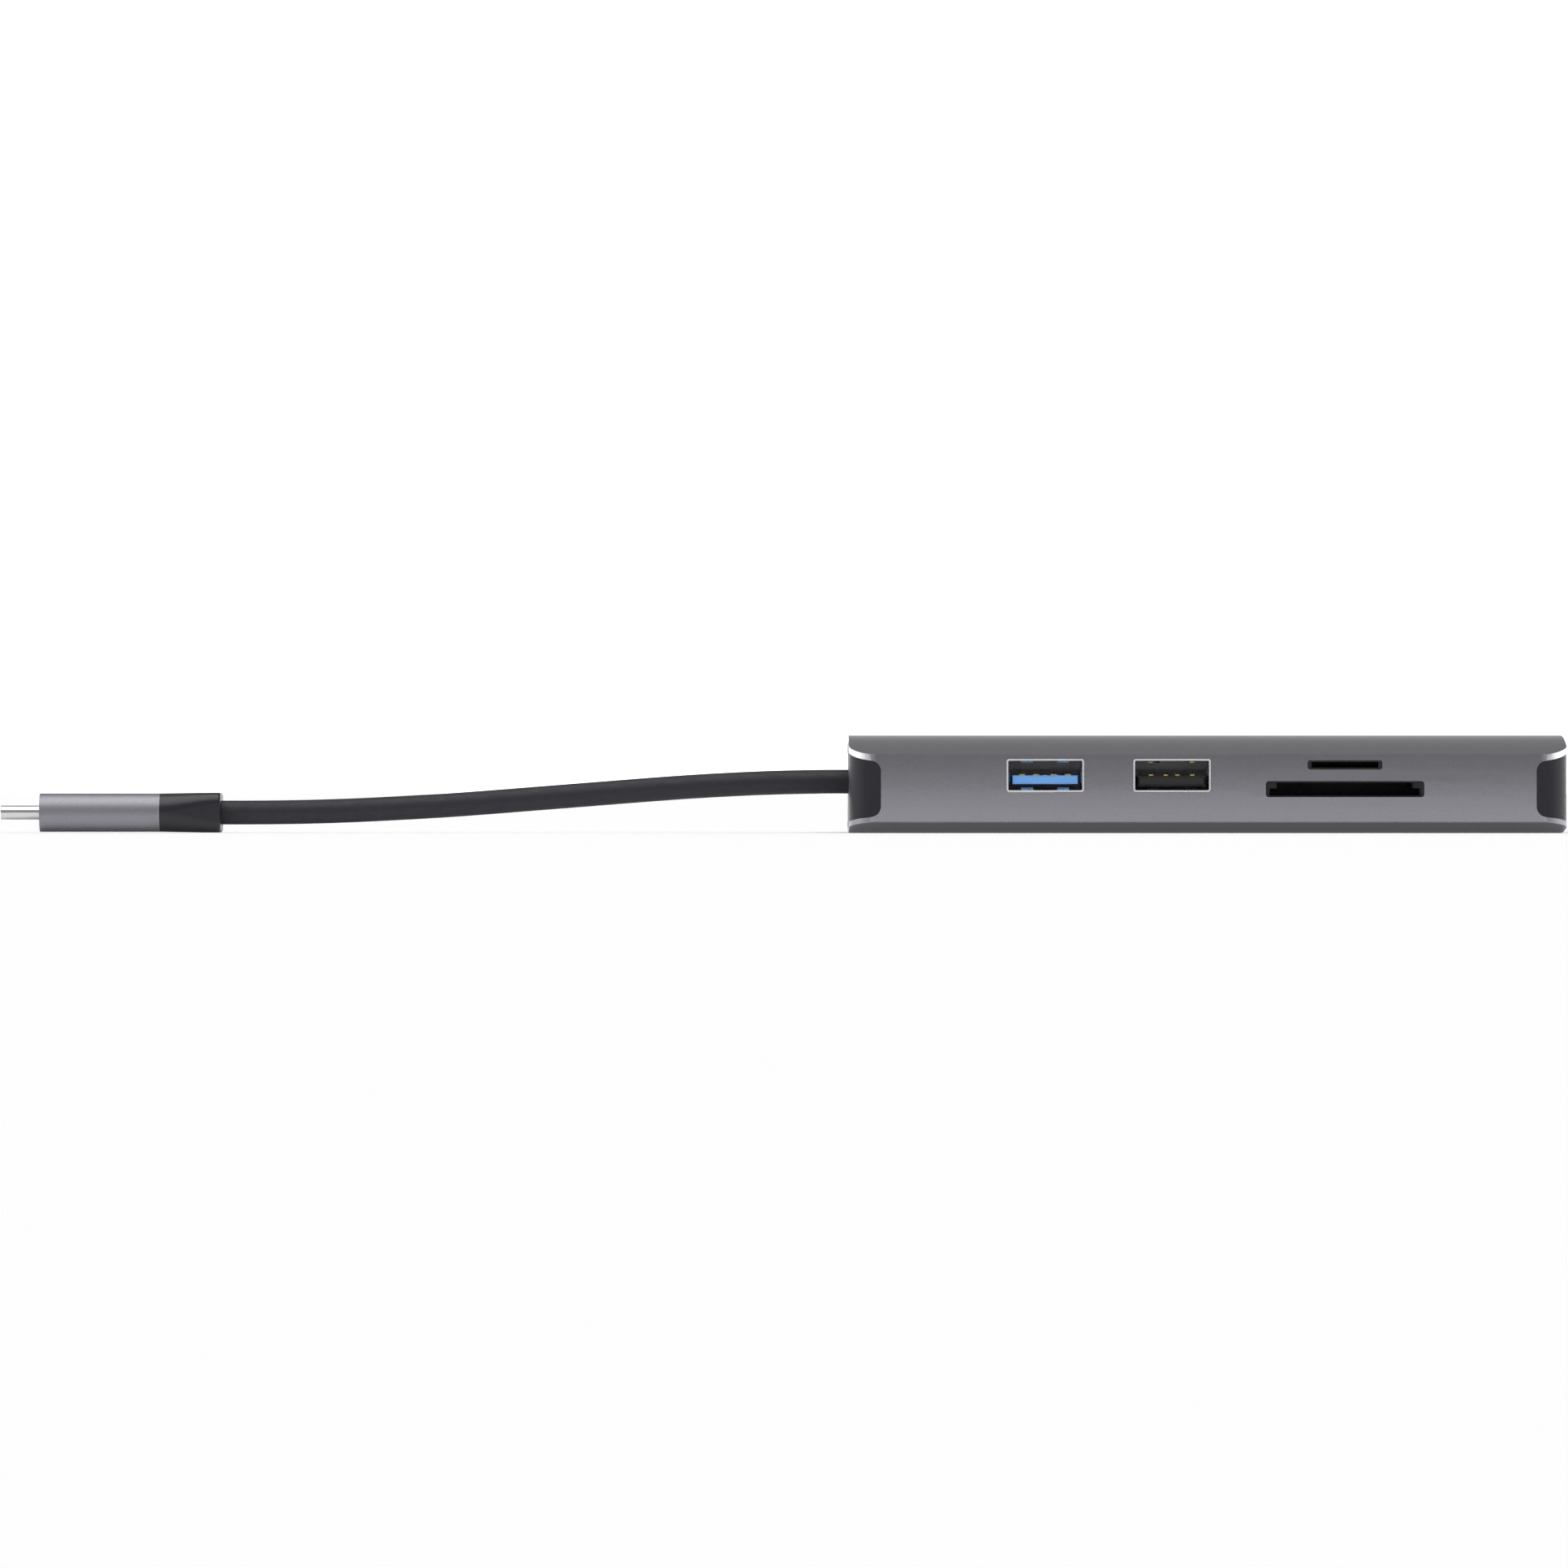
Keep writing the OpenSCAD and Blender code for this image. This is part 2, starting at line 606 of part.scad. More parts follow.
module ethernet_shield() color("gainsboro") back_port(ethernet_x, eth_z) difference() {
    along_y(0.02, eth_depth) rounded(eth_w, eth_h, 0.35);
    along_y(-1, eth_depth - eth_wall) square([eth_w - 2 * eth_wall, eth_h - 2 * eth_wall], center = true);
}

eth_front = 0.25;      // the housing's face stands back from the shield's edge
light_w = 1.3;
light_x = 6.65;
light_z = -3.4;
module ethernet_housing() color("#18181a") back_port(ethernet_x, eth_z) difference() {
    along_y(eth_front, eth_depth - eth_wall - fit)
        square([eth_w - 2 * eth_wall - 2 * fit, eth_h - 2 * eth_wall - 2 * fit], center = true);
    along_y(-1, 13) ethernet_opening();
    for (s = [-1, 1]) translate([s * light_x, 0, light_z])
        block([-light_w / 2 - fit, -1, -0.9 - fit], [light_w / 2 + fit, 6 + fit, 0.9 + fit]);
}

module ethernet_light_pipes() color("#d9d27a") back_port(ethernet_x, eth_z)
    for (s = [-1, 1]) translate([s * light_x, 0, light_z])
        block([-light_w / 2, eth_front, -0.9], [light_w / 2, 6, 0.9]);

// Eight wires that spring down out of the jack's roof
module ethernet_contacts() color("gold") back_port(ethernet_x, eth_z)
    for (i = [0:7]) translate([-3.57 + i * 1.02 - 0.2, 0, eth_cavity_low + eth_cavity_h])
        rotate([90, 0, 90]) linear_extrude(0.4)
            polygon([[12.9, 0], [12.9, -0.35], [5, -1.9], [3.2, -1.6], [3.2, -1.2], [5, -1.5], [11, 0]]);

// ---------- Video port ----------

// A flat-topped trapezoid, narrower at the bottom
module hdmi_outline(grow = 0) {
    w = hdmi_w / 2 + grow;
    h = hdmi_h / 2 + grow;
    low_w = w - 1.3;
    right = [[w, h], [w, -0.6], [low_w, -1.7], [low_w, -h]];
    left = [for (i = [3:-1:0]) [-right[i].x, right[i].y]];
    polygon(concat(right, left));
}

module hdmi_shell() color("gainsboro") back_port(hdmi_x, hdmi_z) difference() {
    along_y(0.02, hdmi_depth) hdmi_outline();
    along_y(-1, hdmi_depth - 0.3) hdmi_outline(-0.3);
}

module hdmi_tongue() color("#18181a") back_port(hdmi_x, hdmi_z) {
    along_y(8, hdmi_depth - 0.35) hdmi_outline(-0.36);
    along_y(0.9, 8.1) translate([0, hdmi_tongue_z]) square([11.6, hdmi_tongue_h], center = true);
}

// Nineteen contacts, by turns on the top and on the underside of the tongue
module hdmi_contacts() color("gold") back_port(hdmi_x, hdmi_z)
    for (i = [-9:9]) translate([i * 0.5, 0, hdmi_tongue_z]) mirror([0, 0, abs(i + 1) % 2])
        block([-0.15, 1.4, hdmi_tongue_h / 2], [0.15, 8, hdmi_tongue_h / 2 + 0.1]);

// ---------- C-type port ----------

module usbc_shell() color("gainsboro") back_port(usbc_x, usbc_z) difference() {
    along_y(0.02, usbc_depth) stadium(usbc_w, usbc_h);
    along_y(-1, usbc_depth - 0.3) stadium(usbc_w - 0.6, usbc_h - 0.6);
}

module usbc_tongue() color("#18181a") back_port(usbc_x, usbc_z) {
    along_y(5.5, usbc_depth - 0.35) stadium(usbc_w - 0.72, usbc_h - 0.72);
    along_y(1, 5.6) square([6.7, 0.7], center = true);
}

module usbc_contacts() color("gold") back_port(usbc_x, usbc_z)
    for (i = [0:11], s = [0, 1]) mirror([0, 0, s])
        block([-2.75 + i * 0.5 - 0.12, 1.4, 0.35], [-2.75 + i * 0.5 + 0.12, 5.4, 0.42]);

// ---------- Lead ----------

anchor_x = -half_l + cap_wall;

// Moulded onto the lead: a neck through the end cap, a collar behind it and a block for the clamp
module lead_anchor() color("#2b2b2f") {
    translate([-half_l, 0, lead_z]) rotate([0, 90, 0]) cylinder(d = lead_d, h = 3);
    translate([anchor_x + fit, 0, lead_z]) rotate([0, 90, 0]) cylinder(r = 3.4, h = 2.5);
    block([anchor_x + 2, -3.4, lead_z - 2.8], [-51.5, 3.4, lead_z + 2.4]);
}

// A strap over the anchor's block, with two feet on the board
module anchor_clamp() color("silver") {
    top = lead_z + 2.4;
    block([-55, -4.2, top], [-52, 4.2, top + 0.5]);
    block([-52, -4.2, top], [-48.4, 4.2, top + 0.5]);
    for (s = [0, 1]) mirror([0, s, 0]) difference() {
        union() {
            block([-52, 3.7, board_top], [-48.4, 4.2, top + thin]);
            block([-49.2, 3.7, board_top], [-44.8, 8.2, board_top + 0.5]);
        }
        translate([clamp_x, 6.5, 0]) cylinder(r = 0.8, h = far);
    }
}

module clamp_screws() color("silver")
    for (s = [-1, 1]) translate([clamp_x, s * 6.5, board_top + 0.5]) pan_screw(1.4, 1.7, 2.8, 0.9);

// Insulated conductors from the anchor to the board's pads
wire_r = 0.3;
module lead_wires() color("#8a2d2d")
    for (i = [-3:3]) translate([-51.5, i * 0.85, board_top + wire_r]) rotate([0, 90, 0])
        cylinder(r = wire_r, h = 8.5);

// A closed tube with flat ends, swept along a route that stays in one upright plane
module swept_tube(route, r, sides) {
    last = len(route) - 1;
    heading = [for (i = [0:last]) let (d = route[min(i + 1, last)] - route[max(i - 1, 0)]) d / norm(d)];
    // The route runs towards -X, so this is upwards, square to it; both ends stay upright
    up = [for (i = [0:last]) i == 0 || i == last ? [0, 0, 1] : cross([0, 1, 0], heading[i])];
    rings = [for (i = [0:last], k = [0:sides - 1])
        let (a = 360 * k / sides)
        route[i] + r * (cos(a) * [0, 1, 0] + sin(a) * up[i])];
    walls = [for (i = [0:last - 1], k = [0:sides - 1])
        let (n = (k + 1) % sides)
        [i * sides + k, i * sides + n, (i + 1) * sides + n, (i + 1) * sides + k]];
    polyhedron(
        points = rings,
        faces = concat([[for (k = [sides - 1:-1:0]) k]], walls, [[for (k = [0:sides - 1]) last * sides + k]])
    );
}

module lead() color("#343438") swept_tube(lead_route, lead_d / 2, 12);

// ---------- Plug ----------

module at_plug() translate([0, 0, plug_z]) children();

// A loft from a soft-cornered rectangle at the lead to the metal sleeve's shape
module plug_strain_relief() color("#2b2b2f") at_plug() hull() {
    along_x(relief_x - thin, relief_x) rounded(relief_w, relief_t, 2, $fn = 32);
    along_x(plug_x, plug_x + thin) stadium(plug_w, plug_t, $fn = 48);
}

module plug_sleeve() color("dimgray") at_plug() difference() {
    along_x(tip_x, plug_x) stadium(plug_w, plug_t);
    along_x(tip_x + 1, plug_x + 1) stadium(plug_w - 1.4, plug_t - 1.4);
    along_x(tip_x - 1, tip_x + 2) stadium(shell_w + 2 * fit, shell_t + 2 * fit);
}

// The moulding inside the metal sleeve, round the plug's small board
module plug_core() color("#2b2b2f") at_plug()
    along_x(tip_x + 3, plug_x) stadium(plug_w - 1.4 - 2 * fit, plug_t - 1.4 - 2 * fit);

module plug_shell() color("gainsboro") at_plug() difference() {
    along_x(tip_x - tip_l, tip_x + 3) stadium(shell_w, shell_t);
    along_x(tip_x - tip_l - 1, tip_x + 2.7) stadium(shell_w - 2 * shell_wall, shell_t - 2 * shell_wall);
}

liner_w = shell_w - 2 * shell_wall - 2 * 0.03;
liner_t = shell_t - 2 * shell_wall - 2 * 0.03;
module plug_liner() color("#18181a") at_plug() difference() {
    along_x(tip_x - tip_l + 0.5, tip_x + 2.6) stadium(liner_w, liner_t);
    along_x(tip_x - tip_l, tip_x - 0.6) square([6.8, 0.86], center = true);
}

// Both rows of springs stand into the plug's mouth
module plug_contacts() color("gold") at_plug()
    for (i = [0:11], s = [0, 1]) mirror([0, 0, s])
        block([tip_x - tip_l + 1.2, -2.75 + i * 0.5 - 0.1, 0.3], [tip_x - 0.9, -2.75 + i * 0.5 + 0.1, 0.43]);

// ---------- Output ----------

sleeve();
lead_end_cap();
plain_end_cap();
board_carrier();
main_board();
carrier_screws();
usb3_shell();
usb3_housing();
usb3_tongue();
usb3_contacts();
usb2_shell();
usb2_housing();
usb2_tongue();
usb2_contacts();
sd_bezel();
sd_socket_base();
sd_socket_cover();
sd_contacts();
microsd_bezel();
microsd_socket_base();
microsd_socket_cover();
microsd_contacts();
ethernet_shield();
ethernet_housing();
ethernet_contacts();
ethernet_light_pipes();
hdmi_shell();
hdmi_tongue();
hdmi_contacts();
usbc_shell();
usbc_tongue();
usbc_contacts();
rear_usb3_shell();
rear_usb3_housing();
rear_usb3_tongue();
rear_usb3_contacts();
shield_can();
thermal_pad();
hub_controller();
video_converter();
ethernet_controller();
card_reader_chip();
power_chip();
ethernet_transformer();
crystals();
inductors();
capacitors();
lead_anchor();
anchor_clamp();
clamp_screws();
lead_wires();
lead();
plug_strain_relief();
plug_sleeve();
plug_core();
plug_shell();
plug_liner();
plug_contacts();
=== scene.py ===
"""A multiport USB hub with a short captive lead.

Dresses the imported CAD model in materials, adds the soft lead and its strain relief, and sets up the studio.
"""
import json
import math

import bmesh
import bpy
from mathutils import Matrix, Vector


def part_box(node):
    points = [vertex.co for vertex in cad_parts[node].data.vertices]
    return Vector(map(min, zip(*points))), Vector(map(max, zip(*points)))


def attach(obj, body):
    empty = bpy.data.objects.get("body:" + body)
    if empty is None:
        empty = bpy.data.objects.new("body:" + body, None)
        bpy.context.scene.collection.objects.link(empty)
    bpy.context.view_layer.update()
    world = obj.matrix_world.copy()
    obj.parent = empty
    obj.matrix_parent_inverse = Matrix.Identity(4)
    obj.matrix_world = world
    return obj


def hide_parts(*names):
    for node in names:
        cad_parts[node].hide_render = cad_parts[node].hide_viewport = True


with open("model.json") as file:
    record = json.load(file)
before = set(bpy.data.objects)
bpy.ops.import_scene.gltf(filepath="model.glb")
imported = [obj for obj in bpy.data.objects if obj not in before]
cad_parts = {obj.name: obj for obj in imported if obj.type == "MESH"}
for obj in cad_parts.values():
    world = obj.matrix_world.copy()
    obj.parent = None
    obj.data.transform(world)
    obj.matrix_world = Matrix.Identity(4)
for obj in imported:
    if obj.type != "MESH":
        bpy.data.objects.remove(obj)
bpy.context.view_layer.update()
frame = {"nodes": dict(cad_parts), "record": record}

MM = 0.001
BODY = "root"
nodes = frame["nodes"]

# ---------------------------------------------------------------- Camera

CAMERA_DISTANCE = 2.0              # from the front face
CAMERA_X = -71.72 * MM             # the middle of the whole length, lead and plug included
CAMERA_HEIGHT = 8.3 * MM
SENSOR_WIDTH = 36                  # mm
LENS = 272                         # mm, long enough to look nearly without perspective


def make_camera():
    """Level, square to the front face."""
    front_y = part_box("sleeve")[0].y
    camera = bpy.data.objects.new("camera", bpy.data.cameras.new("camera"))
    bpy.context.scene.collection.objects.link(camera)
    camera.location = (CAMERA_X, front_y - CAMERA_DISTANCE, CAMERA_HEIGHT)
    camera.rotation_euler = (math.radians(90), 0, 0)
    camera.data.sensor_width = SENSOR_WIDTH
    camera.data.lens = LENS
    camera.data.clip_start = 0.05
    camera.data.clip_end = 50
    bpy.context.scene.camera = camera


# ---------------------------------------------------------------- Lead and its strain relief

LEAD_D = 4.1 * MM
LEAD_ROUTE = [                     # centre line in mm, from inside the cap's hole to the strain relief
    (-60.75, 0, 8.7), (-64, 0, 8.7), (-68, 0, 8.65), (-74, 0, 8.5), (-81, 0, 8.2), (-88, 0, 7.8),
    (-95, 0, 7.3), (-102, 0, 6.75), (-109, 0, 6.2), (-116, 0, 5.65), (-123, 0, 5.1), (-130, 0, 4.6),
    (-137, 0, 4.2), (-144, 0, 3.85), (-151, 0, 3.6), (-158, 0, 3.46), (-163.5, 0, 3.42),
    (-167.95, 0, 3.42),
]


def make_lead():
    """The jacket, swept along the route."""
    curve = bpy.data.curves.new("lead_jacket", "CURVE")
    curve.dimensions = "3D"
    curve.bevel_depth = LEAD_D / 2
    curve.bevel_resolution = 12
    curve.resolution_u = 6
    curve.use_fill_caps = True
    spline = curve.splines.new("BEZIER")
    spline.bezier_points.add(len(LEAD_ROUTE) - 1)
    for point, place in zip(spline.bezier_points, LEAD_ROUTE):
        point.co = Vector(place) * MM
        point.handle_left_type = point.handle_right_type = "AUTO"
    lead = bpy.data.objects.new("lead_jacket", curve)
    bpy.context.scene.collection.objects.link(lead)
    lead.data.materials.append(lead_rubber())
    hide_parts("lead")
    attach(lead, BODY)
    return lead


SAME_POINT = 1e-7                  # points nearer than this, in metres, are one
SHARP_ANGLE = math.radians(35)


def rounded_ring(width, height, radius, steps):
    """Points of a rounded rectangle round (0, 0), with the same number of steps at each corner."""
    ring = []
    for corner in range(4):
        sx = 1 if corner in (0, 3) else -1
        sz = 1 if corner in (0, 1) else -1
        for i in range(steps + 1):
            a = math.radians(90 * (corner + i / steps))
            ring.append((
                sx * (width / 2 - radius) + radius * math.cos(a),
                sz * (height / 2 - radius) + radius * math.sin(a),
            ))
    return ring


def loft(name, sections):
    """A closed skin through sections of (x, ring of (y, z)); every ring has the same number of points."""
    mesh = bmesh.new()
    rings = [[mesh.verts.new((x, y, z)) for y, z in ring] for x, ring in sections]
    for a, b in zip(rings, rings[1:]):
        for i in range(len(a)):
            j = (i + 1) % len(a)
            mesh.faces.new((a[i], a[j], b[j], b[i]))
    mesh.faces.new(list(reversed(rings[0])))
    mesh.faces.new(rings[-1])
    bmesh.ops.remove_doubles(mesh, verts=mesh.verts, dist=SAME_POINT)
    bmesh.ops.recalc_face_normals(mesh, faces=mesh.faces)
    data = bpy.data.meshes.new(name)
    mesh.to_mesh(data)
    mesh.free()
    piece = bpy.data.objects.new(name, data)
    bpy.context.scene.collection.objects.link(piece)
    return piece


def smooth(piece):
    """Smooth shading, with the sharp edges kept."""
    for face in piece.data.polygons:
        face.use_smooth = True
    piece.data.set_sharp_from_angle(angle=SHARP_ANGLE)


RELIEF_END_W = 11.4 * MM           # width at the lead's end
RELIEF_SQUARE_R = 1.9 * MM         # corner radius there
RELIEF_EDGE_R = 0.45 * MM          # rounding of the end edge
RELIEF_STEPS = 28                  # sections along it
EDGE_STEPS = 6                     # sections round the end edge
CORNER_STEPS = 16                  # points round each corner of a section


def make_relief():
    """The relief: the plug's stadium section at one end, turning into a squarer one at the lead's end."""
    low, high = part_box("plug_strain_relief")
    plug_low, plug_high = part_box("plug_sleeve")
    axis_z = (plug_low.z + plug_high.z) / 2
    plug_w, plug_t = plug_high.y - plug_low.y, plug_high.z - plug_low.z
    end_w, end_t = RELIEF_END_W, high.z - low.z
    sections = []
    for i in range(RELIEF_STEPS + 1):
        t = i / RELIEF_STEPS
        ease = t * t * (3 - 2 * t)
        x = low.x + (high.x - RELIEF_EDGE_R - low.x) * t
        w = plug_w + (end_w - plug_w) * ease
        h = plug_t + (end_t - plug_t) * t
        r = plug_t / 2 + (RELIEF_SQUARE_R - plug_t / 2) * ease
        sections.append((x, w, h, r))
    for i in range(1, EDGE_STEPS + 1):
        a = math.radians(90 * i / EDGE_STEPS)
        inward = RELIEF_EDGE_R * (1 - math.cos(a))
        x = high.x - RELIEF_EDGE_R + RELIEF_EDGE_R * math.sin(a)
        sections.append((x, end_w - 2 * inward, end_t - 2 * inward, RELIEF_SQUARE_R - inward))
    rings = []
    for x, w, h, r in sections:
        rings.append((x, [(y, z + axis_z) for y, z in rounded_ring(w, h, r, CORNER_STEPS)]))
    relief = loft("strain_relief", rings)
    smooth(relief)
    relief.data.materials.append(relief_rubber())
    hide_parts("plug_strain_relief")
    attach(relief, BODY)
    return relief


# ---------------------------------------------------------------- Materials

class Surface:
    """A Principled material and short ways to add procedural detail to it."""

    def __init__(self, name, colour, metallic=0.0, roughness=0.5, **sockets):
        self.material = bpy.data.materials.new(name)
        self.material.use_nodes = True
        self.tree = self.material.node_tree
        self.shader = self.tree.nodes["Principled BSDF"]
        self.colour = colour
        self.shader.inputs["Base Color"].default_value = (*colour, 1)
        self.shader.inputs["Metallic"].default_value = metallic
        self.shader.inputs["Roughness"].default_value = roughness
        for socket, value in sockets.items():
            self.shader.inputs[socket.replace("_", " ")].default_value = value
        self.place = self.node("ShaderNodeTexCoord").outputs["Object"]

    def node(self, kind, **values):
        """A new node with the named settings."""
        made = self.tree.nodes.new(kind)
        for key, value in values.items():
            setattr(made, key, value)
        return made

    def link(self, output, socket):
        self.tree.links.new(output, socket)

    def noise(self, size, detail=2.0, stretch=(1, 1, 1)):
        """Noise whose features are about size across, in metres."""
        mapping = self.node("ShaderNodeMapping")
        mapping.inputs["Scale"].default_value = stretch
        self.link(self.place, mapping.inputs["Vector"])
        texture = self.node("ShaderNodeTexNoise")
        texture.inputs["Scale"].default_value = 1 / size
        texture.inputs["Detail"].default_value = detail
        self.link(mapping.outputs["Vector"], texture.inputs["Vector"])
        return texture.outputs["Fac"]

    def spread(self, value, low, high, start=0.3, end=0.7):
        """Value, from start to end, taken to low to high."""
        ranged = self.node("ShaderNodeMapRange")
        ranged.inputs["From Min"].default_value = start
        ranged.inputs["From Max"].default_value = end
        ranged.inputs["To Min"].default_value = low
        ranged.inputs["To Max"].default_value = high
        self.link(value, ranged.inputs["Value"])
        return ranged.outputs["Result"]

    def vary_roughness(self, size, low, high, stretch=(1, 1, 1), over=None):
        """Roughness from low to high; over = (roughness, mask) replaces it where the mask is 1."""
        roughness = self.spread(self.noise(size, stretch=stretch), low, high)
        if over:
            mix = self.node("ShaderNodeMix", data_type="FLOAT")
            self.link(over[1], mix.inputs["Factor"])
            self.link(roughness, mix.inputs["A"])
            mix.inputs["B"].default_value = over[0]
            roughness = mix.outputs["Result"]
        self.link(roughness, self.shader.inputs["Roughness"])

    def vary_colour(self, size, amount, detail=3.0, over=None):
        """Lightens and darkens the base colour by amount; over = (colour, mask) replaces it."""
        mix = self.node("ShaderNodeMix", data_type="RGBA")
        mix.inputs["A"].default_value = (*[c * (1 - amount) for c in self.colour], 1)
        mix.inputs["B"].default_value = (*[min(1, c * (1 + amount)) for c in self.colour], 1)
        self.link(self.spread(self.noise(size, detail), 0, 1), mix.inputs["Factor"])
        colour = mix.outputs["Result"]
        if over:
            second = self.node("ShaderNodeMix", data_type="RGBA")
            self.link(over[1], second.inputs["Factor"])
            self.link(colour, second.inputs["A"])
            second.inputs["B"].default_value = (*over[0], 1)
            colour = second.outputs["Result"]
        self.link(colour, self.shader.inputs["Base Color"])

    def bump(self, size, depth, detail=2.0, stretch=(1, 1, 1)):
        """A fine uneven surface, depth high, in metres."""
        bump = self.node("ShaderNodeBump")
        bump.inputs["Strength"].default_value = 1
        bump.inputs["Distance"].default_value = depth
        self.link(self.noise(size, detail, stretch), bump.inputs["Height"])
        self.link(bump.outputs["Normal"], self.shader.inputs["Normal"])

    def size_of(self, value):
        """The value without its sign."""
        absolute = self.node("ShaderNodeMath", operation="ABSOLUTE")
        self.link(value, absolute.inputs[0])
        return absolute.outputs["Value"]

    def combine(self, operation, first, second):
        """The result of a Math node on two values."""
        made = self.node("ShaderNodeMath", operation=operation)
        self.link(first, made.inputs[0])
        self.link(second, made.inputs[1])
        return made.outputs["Value"]

    def cut_rim_and_highlight(self):
        """Where the sleeve's walls end over the caps, on the upright faces: bare cut metal with a painted
        highlight, 1 at the top, less below, faded in along each corner.
        """
        place = self.node("ShaderNodeSeparateXYZ")
        self.link(self.place, place.inputs["Vector"])
        facing = self.node("ShaderNodeSeparateXYZ")
        self.link(self.node("ShaderNodeTexCoord").outputs["Normal"], facing.inputs["Vector"])
        # painted highlight: the brightness fades in along each corner, where the turning face catches more
        # light
        along = self.spread(self.size_of(place.outputs["X"]), 0, 1, RIM_HIGHLIGHT_X, RIM_HIGHLIGHT_X + RIM_HIGHLIGHT_RISE)
        top_wall = self.spread(place.outputs["Z"], 0, 1, RIM_Z - RIM_EDGE, RIM_Z)
        # painted highlight: a faint share of the brightness on the bottom wall
        low_wall = self.spread(place.outputs["Z"], LOW_RIM_HIGHLIGHT_SHARE, 0, LOW_RIM_Z, LOW_RIM_Z + RIM_EDGE)
        upright = self.spread(self.size_of(facing.outputs["Z"]), 1, 0, *RIM_TILT)
        walls = self.combine("ADD", top_wall, low_wall)
        return self.combine("MULTIPLY", self.combine("MULTIPLY", walls, along), upright)


ANODISED = (0.3, 0.294, 0.325)
RIM_HIGHLIGHT_X = 56.1 * MM                  # where the bare rim and its painted highlight begin, just past the end windows' edge
RIM_HIGHLIGHT_RISE = 2.2 * MM                # how far past it the painted highlight is full
RIM_Z = 12.2 * MM                  # underside of the top wall
LOW_RIM_Z = 2.8 * MM               # upper side of the bottom wall
RIM_EDGE = 0.1 * MM                # softness of both
LOW_RIM_HIGHLIGHT_SHARE = 0.1                # painted highlight on the bottom wall
RIM_TILT = (0.45, 0.6)             # how far a face may turn up or down and still be upright


def anodised():
    """Space-grey, bead-blasted and anodised aluminium."""
    surface = Surface("anodised_grey", ANODISED, metallic=1.0, roughness=0.33)
    surface.vary_colour(0.2 * MM, 0.07)
    surface.vary_roughness(0.3 * MM, 0.3, 0.37)
    surface.bump(0.14 * MM, 0.005 * MM)
    return surface.material


def sleeve_metal():
    """The same, with the bright rim that is left where the sleeve's top wall was cut back over the caps, and
    a painted highlight faded in along it.
    """
    surface = Surface("sleeve_metal", ANODISED, metallic=1.0, roughness=0.33)
    rim_and_highlight = surface.cut_rim_and_highlight()
    # bare cut metal at the rim, with a painted highlight
    surface.vary_colour(0.2 * MM, 0.07, over=((0.95, 0.95, 0.96), rim_and_highlight))
    surface.vary_roughness(0.3 * MM, 0.3, 0.37, over=(0.24, rim_and_highlight))
    surface.bump(0.14 * MM, 0.005 * MM)
    return surface.material


def plug_metal():
    """The plug's sleeve, blasted a little coarser."""
    surface = Surface("plug_anodised", (0.3, 0.295, 0.325), metallic=1.0, roughness=0.52)
    surface.vary_colour(0.2 * MM, 0.08)
    surface.vary_roughness(0.3 * MM, 0.49, 0.56)
    surface.bump(0.14 * MM, 0.004 * MM)
    return surface.material


def cap_plastic():
    surface = Surface("end_cap_plastic", (0.016, 0.0148, 0.023), roughness=0.42, Specular_IOR_Level=0.35)
    surface.vary_colour(0.4 * MM, 0.1)
    surface.vary_roughness(0.4 * MM, 0.32, 0.44)
    surface.bump(0.15 * MM, 0.004 * MM)
    return surface.material


def bezel_plastic():
    surface = Surface("bezel_plastic", (0.01, 0.0098, 0.012), roughness=0.5, Specular_IOR_Level=0.35)
    surface.vary_colour(0.3 * MM, 0.1)
    surface.vary_roughness(0.3 * MM, 0.44, 0.56)
    surface.bump(0.12 * MM, 0.003 * MM)
    return surface.material


def lead_rubber():
    """Matt elastomer with faint drawing lines along it."""
    surface = Surface("lead_jacket", (0.022, 0.0206, 0.028), roughness=0.6, Specular_IOR_Level=0.4)
    surface.vary_colour(1.2 * MM, 0.08)
    surface.vary_roughness(0.5 * MM, 0.52, 0.64, stretch=(0.3, 1, 1))
    surface.bump(0.2 * MM, 0.005 * MM, stretch=(0.3, 1, 1))
    return surface.material


def relief_rubber():
    surface = Surface("relief_elastomer", (0.011, 0.0098, 0.0165), roughness=0.34)
    surface.vary_colour(1.0 * MM, 0.08)
    surface.vary_roughness(0.4 * MM, 0.3, 0.4)
    surface.bump(0.18 * MM, 0.003 * MM)
    return surface.material


def port_steel():
    """Nickel-plated sheet, brushed across."""
    surface = Surface("port_steel", (0.82, 0.82, 0.84), metallic=1.0, roughness=0.24)
    surface.vary_roughness(0.6 * MM, 0.18, 0.3)
    surface.bump(0.2 * MM, 0.001 * MM, stretch=(1, 0.2, 1))
    return surface.material


def plug_steel():
    surface = Surface("plug_steel", (0.66, 0.66, 0.68), metallic=1.0, roughness=0.2)
    surface.vary_roughness(0.8 * MM, 0.16, 0.24, stretch=(0.3, 1, 1))
    surface.bump(0.3 * MM, 0.0006 * MM, stretch=(0.1, 1, 1))
    return surface.material


def blue_plastic():
    surface = Surface("blue_plastic", (0.17, 0.43, 0.9), roughness=0.4)
    surface.vary_colour(0.3 * MM, 0.06)
    surface.bump(0.1 * MM, 0.002 * MM)
    return surface.material


def black_plastic():
    surface = Surface("black_plastic", (0.013, 0.013, 0.015), roughness=0.5)
    surface.vary_colour(0.3 * MM, 0.1)
    surface.vary_roughness(0.3 * MM, 0.44, 0.58)
    surface.bump(0.1 * MM, 0.003 * MM)
    return surface.material


def gold():
    surface = Surface("contact_gold", (0.9, 0.68, 0.3), metallic=1.0, roughness=0.25)
    surface.vary_roughness(0.3 * MM, 0.2, 0.32)
    return surface.material


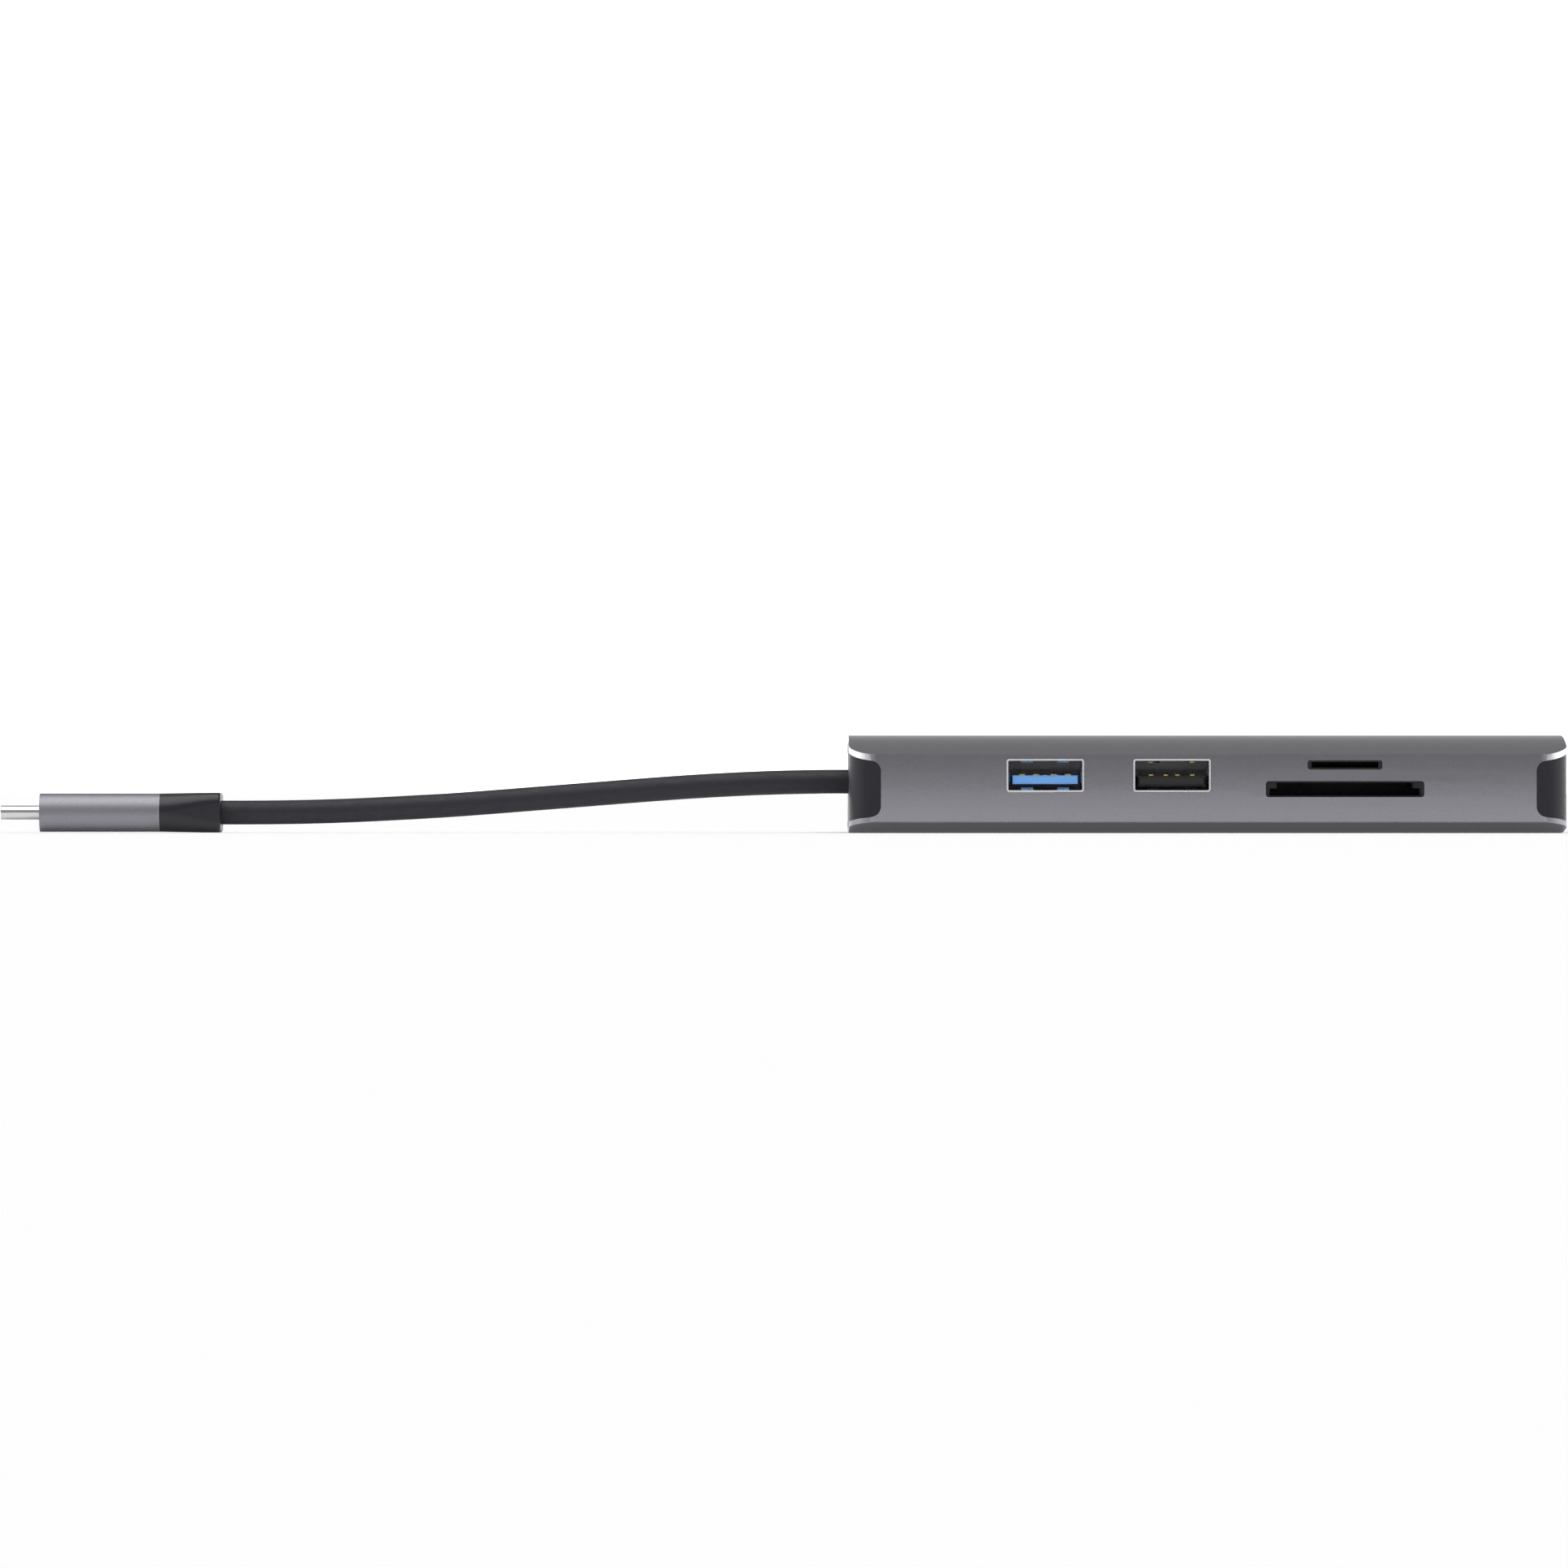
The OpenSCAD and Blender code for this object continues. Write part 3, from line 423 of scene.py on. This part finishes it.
def solder_mask():
    surface = Surface("circuit_board", (0.012, 0.09, 0.045), roughness=0.3, Coat_Weight=0.4)
    surface.vary_colour(0.9 * MM, 0.35, detail=0)
    surface.bump(0.8 * MM, 0.01 * MM, detail=0)
    return surface.material


def plain(name, colour, roughness, metallic=0.0):
    """A simple moulded or machined finish."""
    surface = Surface(name, colour, metallic=metallic, roughness=roughness)
    surface.vary_colour(0.5 * MM, 0.08)
    surface.vary_roughness(0.4 * MM, roughness * 0.9, min(1, roughness * 1.12))
    surface.bump(0.15 * MM, 0.002 * MM)
    return surface.material


def light_pipe():
    surface = Surface("light_pipe", (0.75, 0.7, 0.4), roughness=0.18, Transmission_Weight=0.3)
    surface.vary_roughness(0.4 * MM, 0.14, 0.24)
    return surface.material


def dress_nodes():
    """Gives every CAD node the finish of its slot in the record."""
    finishes = {
        "anodised_grey": anodised(),
        "end_cap_plastic": cap_plastic(),
        "bezel_plastic": bezel_plastic(),
        "lead_jacket": lead_rubber(),
        "relief_elastomer": relief_rubber(),
        "port_steel": port_steel(),
        "port_housing_plastic": plain("port_housing_plastic", (0.2, 0.195, 0.21), 0.5),
        "plug_steel": plug_steel(),
        "blue_plastic": blue_plastic(),
        "black_plastic": black_plastic(),
        "contact_gold": gold(),
        "circuit_board": solder_mask(),
        "chip_epoxy": plain("chip_epoxy", (0.02, 0.02, 0.022), 0.5),
        "ceramic": plain("ceramic", (0.5, 0.38, 0.24), 0.4),
        "ferrite": plain("ferrite", (0.09, 0.09, 0.09), 0.6),
        "gap_pad": plain("gap_pad", (0.3, 0.4, 0.48), 0.7),
        "carrier_plastic": plain("carrier_plastic", (0.03, 0.03, 0.033), 0.5),
        "screw_steel": plain("screw_steel", (0.6, 0.6, 0.62), 0.3, metallic=1.0),
        "light_pipe": light_pipe(),
        "wire_insulation": plain("wire_insulation", (0.4, 0.06, 0.06), 0.4),
    }
    for part in frame["record"]["subparts"]:
        for slot in nodes[part["node"]].material_slots:
            slot.material = finishes[part["material_slot"]]
    nodes["sleeve"].material_slots[0].material = sleeve_metal()
    nodes["plug_sleeve"].material_slots[0].material = plug_metal()
    socket = plain("socket_plastic", (0.05, 0.048, 0.056), 0.5)
    nodes["sd_socket_base"].material_slots[0].material = socket


# ---------------------------------------------------------------- Studio

FLOOR_REACH = 8                    # metres each way


def make_floor():
    """A plain pale floor."""
    mesh = bpy.data.meshes.new("floor")
    reach = FLOOR_REACH
    corners = [(-reach, -reach, 0), (reach, -reach, 0), (reach, reach, 0), (-reach, reach, 0)]
    mesh.from_pydata(corners, [], [(0, 1, 2, 3)])
    floor = bpy.data.objects.new("floor", mesh)
    bpy.context.scene.collection.objects.link(floor)
    surface = Surface("floor_paint", (0.93, 0.93, 0.93), roughness=0.8, Emission_Strength=0.13)
    surface.shader.inputs["Emission Color"].default_value = (1, 1, 1, 1)
    mesh.materials.append(surface.material)


FRONT_LIGHT = 0.33                 # the studio in front of the object
BACK_LIGHT = 1.75                  # a pale wall behind it and at its sides
TOP_LIGHT = 2.5                    # a large soft light overhead
TOP_HEADING = (0, -0.22, 0.975)    # towards its middle
TOP_EDGE = (0.78, 0.92)            # cosines of the angles where it begins and is full
WALL_TOP = 0.35                    # height of the pale wall, as a share of the way up
WALL_FRONT = (-0.6, 0.1)           # how far back the wall begins and is full


def make_world():
    """A soft overhead light, a pale wall behind and a dimmer front; plain white to the camera."""
    world = bpy.data.worlds.new("studio")
    bpy.context.scene.world = world
    world.use_nodes = True
    tree = world.node_tree

    def ramp(value, start, end, low, high):
        """Value, from start to end, eased from low to high."""
        ranged = tree.nodes.new("ShaderNodeMapRange")
        ranged.interpolation_type = "SMOOTHSTEP"
        ranged.inputs["From Min"].default_value = start
        ranged.inputs["From Max"].default_value = end
        ranged.inputs["To Min"].default_value = low
        ranged.inputs["To Max"].default_value = high
        tree.links.new(value, ranged.inputs["Value"])
        return ranged.outputs["Result"]

    def combine(operation, first, second):
        made = tree.nodes.new("ShaderNodeMath")
        made.operation = operation
        tree.links.new(first, made.inputs[0])
        tree.links.new(second, made.inputs[1])
        return made.outputs["Value"]

    direction = tree.nodes.new("ShaderNodeTexCoord").outputs["Generated"]
    heading = tree.nodes.new("ShaderNodeSeparateXYZ")
    tree.links.new(direction, heading.inputs["Vector"])
    towards_light = tree.nodes.new("ShaderNodeVectorMath")
    towards_light.operation = "DOT_PRODUCT"
    tree.links.new(direction, towards_light.inputs[0])
    towards_light.inputs[1].default_value = TOP_HEADING
    overhead = ramp(towards_light.outputs["Value"], *TOP_EDGE, FRONT_LIGHT, TOP_LIGHT)
    low_down = ramp(heading.outputs["Z"], 0, WALL_TOP, BACK_LIGHT - FRONT_LIGHT, 0)
    behind = ramp(heading.outputs["Y"], *WALL_FRONT, 0, 1)
    studio = combine("ADD", overhead, combine("MULTIPLY", low_down, behind))
    seen = tree.nodes.new("ShaderNodeLightPath").outputs["Is Camera Ray"]
    tree.links.new(combine("MAXIMUM", studio, seen), tree.nodes["Background"].inputs["Strength"])
    tree.nodes["Background"].inputs["Color"].default_value = (1, 1, 1, 1)


def make_studio():
    make_floor()
    make_world()
    bpy.context.scene.view_settings.view_transform = "Standard"


make_camera()
dress_nodes()
lead = make_lead()
relief = make_relief()
make_studio()
